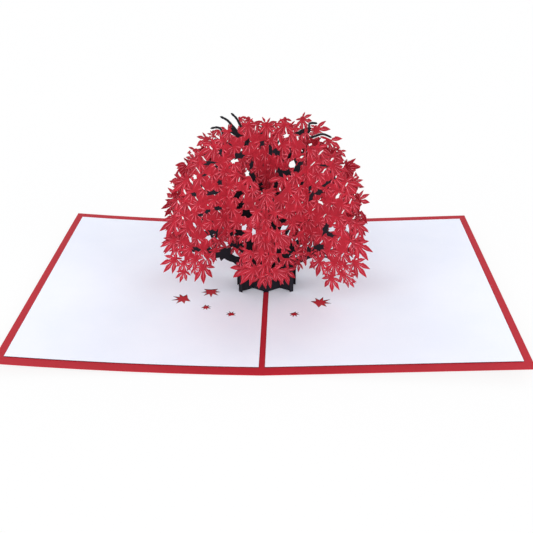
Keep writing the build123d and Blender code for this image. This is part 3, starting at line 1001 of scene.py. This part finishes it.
def side_twigs(courses, side, outline, start):
    """Small twigs that leave the boughs of a tall trunk sheet to either hand, within the foliage."""
    pieces = []
    index = start
    for _, shares in courses:
        path = [(side * s, z) for s, z in smooth(bough_places(shares))]
        left_to_walk = twig_pitch
        for a, b in zip(path, path[1:]):
            left_to_walk -= dist(a, b)
            if left_to_walk > 0:
                continue
            index += 1
            left_to_walk = twig_pitch * swayed((1, twig_pitch_swing), index, 3)
            hand = 1 if index % 2 else -1
            along_bough = atan2(b[1] - a[1], b[0] - a[0])
            length = swayed(side_twig_length, index, 5)
            course = [a]
            for share, turn in (side_twig_elbow, (1, swayed(side_twig_tip_turn, index, 7))):
                angle = along_bough + hand * turn
                course.append(ahead(a, (cos(angle), sin(angle)), share * length))
            tip = course[-1]
            near_slot = any(abs(abs(s) - side_offset) < side_twig_slot_gap for s, _ in course)
            parted = (abs(tip[0]) > side_offset) != (abs(a[0]) > side_offset) or tip[0] * a[0] < 0
            covered = inside(tip, outline) and edge_distance(tip, outline) >= side_twig_edge_gap
            if covered and not near_slot and not parted:
                for step, half in zip((course[:2], course[1:]), side_twig_halves):
                    pieces += strips(step, half)
    return pieces


def twig_gaps(courses, side):
    """Gaps that bare the outer part of the twigs that stand out over the crown."""
    gaps = []
    for shares in courses:
        path = [(side * s, z) for s, z in smooth(bough_places(shares), 3)]
        gaps += strips(path[len(path) // 3:], twig_width / 2 + twig_gap_margin)
    return gaps


def window_twigs(family, courses):
    """Short twigs of a tall trunk sheet that cross the windows in the foliage before it."""
    pieces = []
    for x, z, length, width, turn, depth in windows:
        if depth == whole_tree_depth or bough_family(x, depth) != family:
            continue
        reach = window_twig_reach_share * length
        run = (reach * cos(radians(turn)), reach * sin(radians(turn)))
        ends = seen_behind([(x - run[0], z - run[1]), (x + run[0], z + run[1])], family, 0)
        middle = ((ends[0][0] + ends[1][0]) / 2, (ends[0][1] + ends[1][1]) / 2)
        side = 1 if middle[0] > 0 else -1
        roots = [(side * s, z) for _, shares in courses for s, z in smooth(bough_places(shares))]
        outer = abs(middle[0]) > side_offset
        roots = [root for root in roots if (abs(root[0]) > side_offset) == outer]
        nearest = min(roots, key=lambda root: dist(root, middle))
        ends.sort(key=lambda end: dist(end, nearest))
        half = max(window_twig_least_half, window_twig_half_share * width)
        pieces += strips([nearest, ends[0], middle, ends[1]], half)
        size = (window_patch_shares[0] * length, window_patch_shares[1] * half)
        pieces.append(gap(*middle, *size, turn + 90, len(pieces)))
    return pieces


def slot_bands(outline, slots):
    """Solid bands of paper beside the slots, as far as the outline reaches."""
    bands = []
    for corners in slots:
        left = min(s for s, _ in corners) - slot_band
        right = max(s for s, _ in corners) + slot_band
        middle = (left + right) / 2
        probes = [(middle, step / probes_per_mm) for step in range(band_probes)]
        heights = [probe[1] for probe in probes if inside(probe, outline)]
        if heights:
            bands.append((left, right, min(heights) + band_foot_gap, max(heights) - band_head_gap))
    return bands


# Tall sheets: side, family, outline of the foliage, its gaps, boughs and the rear half's twigs.
tall_sheets = (
    ("left", 1, left_main_outline, left_main_gaps, left_boughs, left_rear_twigs),
    ("right", -1, right_main_outline, right_main_gaps, right_boughs, right_rear_twigs),
)

# Tall foliage sheets, glued to the front of the tall trunk sheets.
for hand, family, outline, main_gaps, _, rear_twigs in tall_sheets:
    gaps = window_gaps(family, -layer_shift, (-side_offset, 0, side_offset))
    gaps += rear_gaps(main_gaps, family) + twig_gaps(rear_twigs, family)
    cuts = [
        half_slot(family, -layer_shift, pair_middle, 2, main_crossing_share * crown_height),
        slot(family, -layer_shift, pair_middle, 1, -overrun, fork_height),
    ]
    for side in (-1, 1):
        cuts.append(half_slot(family, -layer_shift, side * side_offset, 1, side_crossing_height))
    sheet = foliage_sheet(f"leaf_sheet_{hand}", family, -layer_shift, outline, gaps, cuts, family)
    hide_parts(f"foliage_{hand}")

# Side foliage sheets, with further gaps in the two rear ones.
for hand, reach, side_gaps in (("left", -1, left_side_gaps), ("right", 1, right_side_gaps)):
    for end, side in (("front", -1), ("rear", 1)):
        family = -side * reach
        own = side * side_offset
        outline = [(reach * s, z) for s, z in side_outline]
        gaps = window_gaps(family, own, (0, reach * side_offset))
        gaps += rear_gaps(side_gaps if side > 0 else (), reach)
        cuts = [
            half_slot(family, own, own, 1, front_crossing_share * crown_height),
            half_slot(family, own, pair_middle, 2, side_crossing_height),
            slot(family, own, pair_middle, 1, -overrun, side_sheet_bottom),
            half_slot(family, own, -own, 1, edge_crossing_share * crown_height),
        ]
        name = f"leaf_sheet_{end}_{hand}"
        sheet = foliage_sheet(name, family, own, outline, gaps, cuts, 2 * family + side)
        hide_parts(f"foliage_{end}_{hand}")

# Tall trunk sheets with their boughs, twigs, tabs and folded ends.
for hand, family, outline, _, boughs, rear_twigs in tall_sheets:
    kept = [trunk_points(), tab_points(-1), tab_points(1)]
    for width, shares in boughs:
        pieces = bough(bough_places(shares), width)
        kept += pieces + [mirrored(piece) for piece in pieces]
    for shares in rear_twigs:
        pieces = bough(bough_places(shares), twig_width)
        kept += pieces if family > 0 else [mirrored(piece) for piece in pieces]
    kept += window_twigs(family, boughs)
    for side in (-1, 1):
        kept += side_twigs(boughs, side, outline, twig_seed_step * family + side)
    cuts = [half_slot(family, 0, pair_middle, 2, trunk_crossing_height)]
    for side in (-1, 1):
        wall = side * wall_offset
        foliage = side * side_offset
        if family > 0:
            cuts.append(half_slot(family, 0, wall, 1, wall_crossing_height))
            cuts.append(slot(family, 0, foliage, 1, side_sheet_bottom, side_crossing_height))
        else:
            cuts.append(slot(family, 0, wall, 1, wall_crossing_height, wall_height + slot_clearance))
            cuts.append(slot(family, 0, foliage, 1, side_crossing_height, side_top_share * crown_height))
    sheet = cut_paper(kept, cuts)
    materials = (trunk_paper, trunk_edge)
    spot = standing_spot(family, 0)
    piece = thick_sheet(f"bough_sheet_{hand}", sheet, spot, materials, folds=end_folds(family))
    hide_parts(f"trunk_{hand}")

# White panels with the fallen leaves and the slits for the trunk's tabs cut out.
for hand, side in (("left", -1), ("right", 1)):
    near = side * spine_strip / 2
    far = side * (half_width - side_border)
    back = card_depth / 2 - end_border
    edges = [near + (far - near) * strip / panel_strips for strip in range(panel_strips + 1)]
    kept = [rectangle(a, b, -back, back) for a, b in zip(edges, edges[1:])]
    cuts = []
    for x, y, length, turn in fallen_leaves:
        cuts.append(place(fallen_leaf(length), x * half_width, y * card_depth, radians(turn)))
    middle = side * (tab_start + tab_length / 2)
    half_length = tab_length / 2 + tab_slit_clearance
    half_slit = sheet_thickness / 2 + tab_slit_clearance
    slit = rectangle(-half_length, half_length, -half_slit, half_slit)
    for family in (-1, 1):
        for offset in (0, -family * side * wall_offset):
            turn = radians(family * crossing_angle)
            cuts.append(place(slit, middle * along, offset + family * middle * across, turn))
    materials = (panel_paper, panel_edge)
    panel = thick_sheet(f"white_panel_{hand}", cut_paper(kept, cuts), panel_spot, materials, panel_thickness)
    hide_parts(f"{hand}_panel")

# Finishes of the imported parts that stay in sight.
finishes = {"cover": cover_card}
for end in ("front", "rear"):
    for hand in ("left", "right"):
        finishes[f"trunk_wall_{end}_{hand}"] = trunk_paper
for name, finish in finishes.items():
    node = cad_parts[name]
    node.data.materials.clear()
    node.data.materials.append(finish)

# Floor: white seen directly, with the card's soft shadow. Sizes in metres.
floor_size = 6
floor_drop = 0.0002
floor_level = 0.9
floor_roughness = 0.9
floor_glow_share = 0.88
bpy.ops.mesh.primitive_plane_add(size=floor_size, location=(0, 0, -floor_drop))
floor = bpy.context.object
floor.name = "floor"
floor_paint = bpy.data.materials.new("floor_white")
floor_paint.use_nodes = True
tree = floor_paint.node_tree
matt = tree.nodes["Principled BSDF"]
feed(matt, [("Base Color", (floor_level, floor_level, floor_level, 1)), ("Roughness", floor_roughness)])
glow = add_node(tree, "ShaderNodeEmission", "Emission", [("Strength", 1)])
shares = [(0, add_node(tree, "ShaderNodeLightPath", "Is Camera Ray")), (1, floor_glow_share)]
seen = add_node(tree, "ShaderNodeMath", "Value", shares, operation="MULTIPLY")
parts = [("Fac", seen), (1, matt.outputs["BSDF"]), (2, glow)]
feed(tree.nodes["Material Output"], [("Surface", add_node(tree, "ShaderNodeMixShader", "Shader", parts))])
floor.data.materials.append(floor_paint)

# World: even light, and white where it is seen.
ambient_colour = (0.96, 0.97, 1, 1)
ambient_strength = 0.57
world = bpy.data.worlds.new("studio")
scene.world = world
world.use_nodes = True
tree = world.node_tree
ambient = tree.nodes["Background"]
feed(ambient, [("Color", ambient_colour), ("Strength", ambient_strength)])
white = add_node(tree, "ShaderNodeBackground", "Background", [("Color", (1, 1, 1, 1)), ("Strength", 1)])
seen = add_node(tree, "ShaderNodeLightPath", "Is Camera Ray")
for kind in ("Is Glossy Ray", "Is Transmission Ray"):
    either = [(0, seen), (1, add_node(tree, "ShaderNodeLightPath", kind))]
    seen = add_node(tree, "ShaderNodeMath", "Value", either, operation="MAXIMUM")
parts = [("Fac", seen), (1, ambient.outputs["Background"]), (2, white)]
feed(tree.nodes["World Output"], [("Surface", add_node(tree, "ShaderNodeMixShader", "Shader", parts))])

# Softboxes: place and height of their aim in metres, size and watts.
softboxes = {
    "front_softbox": ((0, -2.7, 1.2), 0.03, 1.8, 35),
    "left_softbox": ((-2.1, -1.7, 1.2), 0.02, 1.6, 25),
    "right_softbox": ((2.1, -1.7, 1.2), 0.02, 1.6, 25),
    "rear_left_softbox": ((-1.6, 2, 1.6), 0.02, 1.6, 18),
    "rear_right_softbox": ((1.6, 2, 1.6), 0.02, 1.6, 18),
}
for name, (room_place, aim, size, watts) in softboxes.items():
    light = bpy.data.lights.new(name, "AREA")
    light.shape = "SQUARE"
    light.size = size
    light.energy = watts
    lamp = bpy.data.objects.new(name, light)
    lamp.location = room_place
    lamp.rotation_euler = (Vector((0, 0, aim)) - Vector(room_place)).to_track_quat("-Z", "Y").to_euler()
    scene.collection.objects.link(lamp)

# Camera, fitted to the card's corners and spine in the 533 x 533 photograph.
focal_pixels = 823.8
picture_width = 533
sensor_width = 36
camera_tilt = 26.94
camera_turn = 1.55
lens_data = bpy.data.cameras.new("camera")
lens_data.sensor_width = sensor_width
lens_data.lens = focal_pixels / picture_width * sensor_width
camera = bpy.data.objects.new("camera", lens_data)
camera.location = [distance * mm for distance in eye]
camera.rotation_euler = (radians(90 - camera_tilt), 0, radians(camera_turn))
scene.collection.objects.link(camera)
scene.camera = camera

scene.view_settings.view_transform = "Standard"
